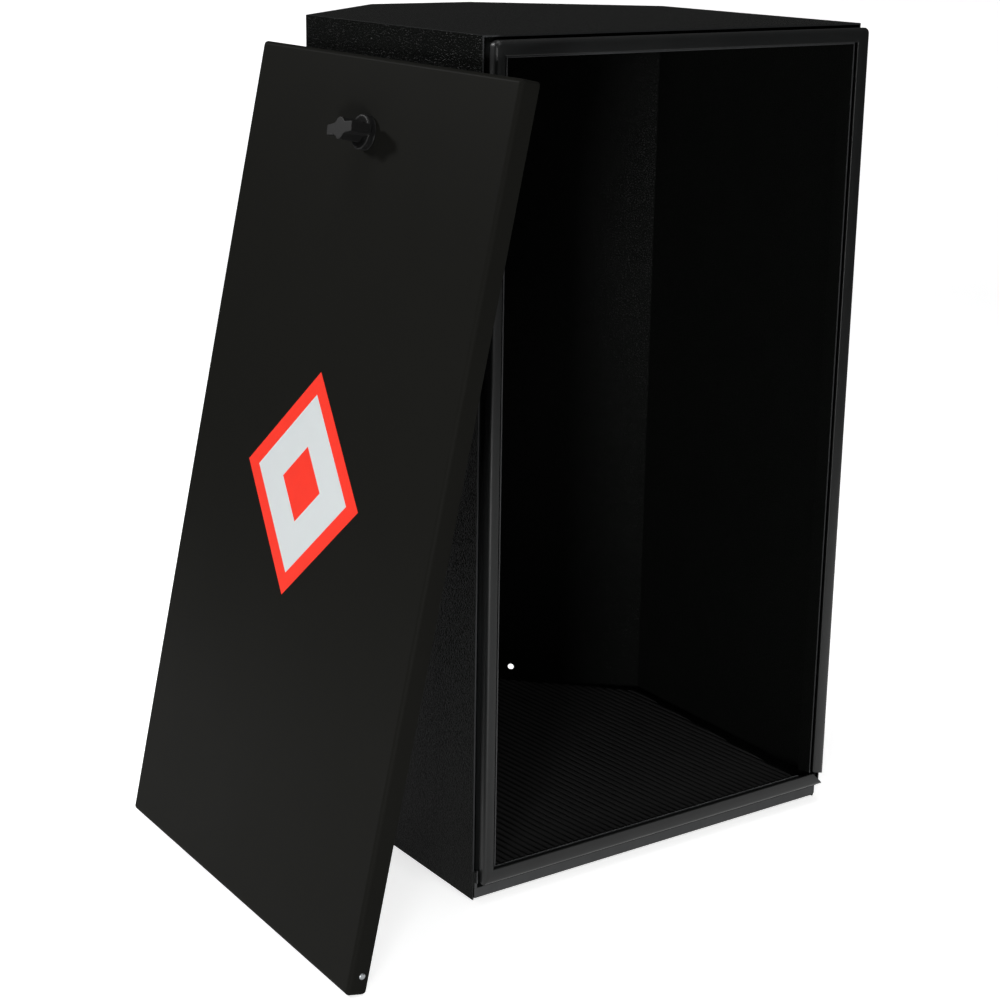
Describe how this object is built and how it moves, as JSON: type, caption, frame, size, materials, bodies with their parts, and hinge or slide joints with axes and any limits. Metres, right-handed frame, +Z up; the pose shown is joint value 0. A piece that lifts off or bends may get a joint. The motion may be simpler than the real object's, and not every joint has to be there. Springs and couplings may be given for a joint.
{
  "type": "gas_bottle_cabinet",
  "caption": "Black steel locker for an upright gas bottle, with canted rear corners, a sealed front opening, a ribbed rubber floor mat and a lift-off door with a wing latch leaning beside it.",
  "frame": {"origin": "centre of the cabinet's footprint on the floor, midway between its side walls and midway between its front edge and its back", "axes": "+X to the right seen from the front, +Y towards the back, +Z up"},
  "size_m": [0.4787, 0.407, 0.61],
  "materials": {
    "grained_black_coating": "leather-grain powder coat",
    "satin_black_coating": "fine satin powder coat",
    "seal_rubber": "extruded matt rubber",
    "mat_rubber": "fine-ribbed matting",
    "black_polyamide": "moulded",
    "zinc_plate": "zinc plated",
    "decal_film": "printed film"
  },
  "bodies": {
    "cabinet": {"body_wrap": "grained_black_coating", "top_panel": "grained_black_coating", "base_pan": "grained_black_coating", "left_jamb": "grained_black_coating", "right_jamb": "grained_black_coating", "head_rail": "grained_black_coating", "sill_rail": "grained_black_coating", "left_door_hook": "grained_black_coating", "right_door_hook": "grained_black_coating", "door_seal": "seal_rubber", "floor_mat": "mat_rubber"},
    "door": {"door_panel": "satin_black_coating", "left_door_pin": "zinc_plate", "right_door_pin": "zinc_plate", "latch_gasket": "seal_rubber", "latch_body": "black_polyamide", "latch_nut": "black_polyamide", "lozenge_decal": "decal_film"},
    "latch": {"latch_knob": "black_polyamide", "latch_spindle": "zinc_plate", "latch_cam": "zinc_plate", "cam_washer": "zinc_plate", "cam_screw": "zinc_plate"}
  },
  "joints": [
    {"name": "door_lift", "type": "slide", "parent": "cabinet", "child": "door", "axis": [0, 0, 1], "range_m": [0, 0.64]},
    {"name": "latch_turn", "type": "hinge", "parent": "door", "child": "latch", "pos_m": [-0.19392, -0.06918, 0.54], "axis": [-0.9775, 0.0249, 0.2093], "range_deg": [-11, 79]}
  ]
}
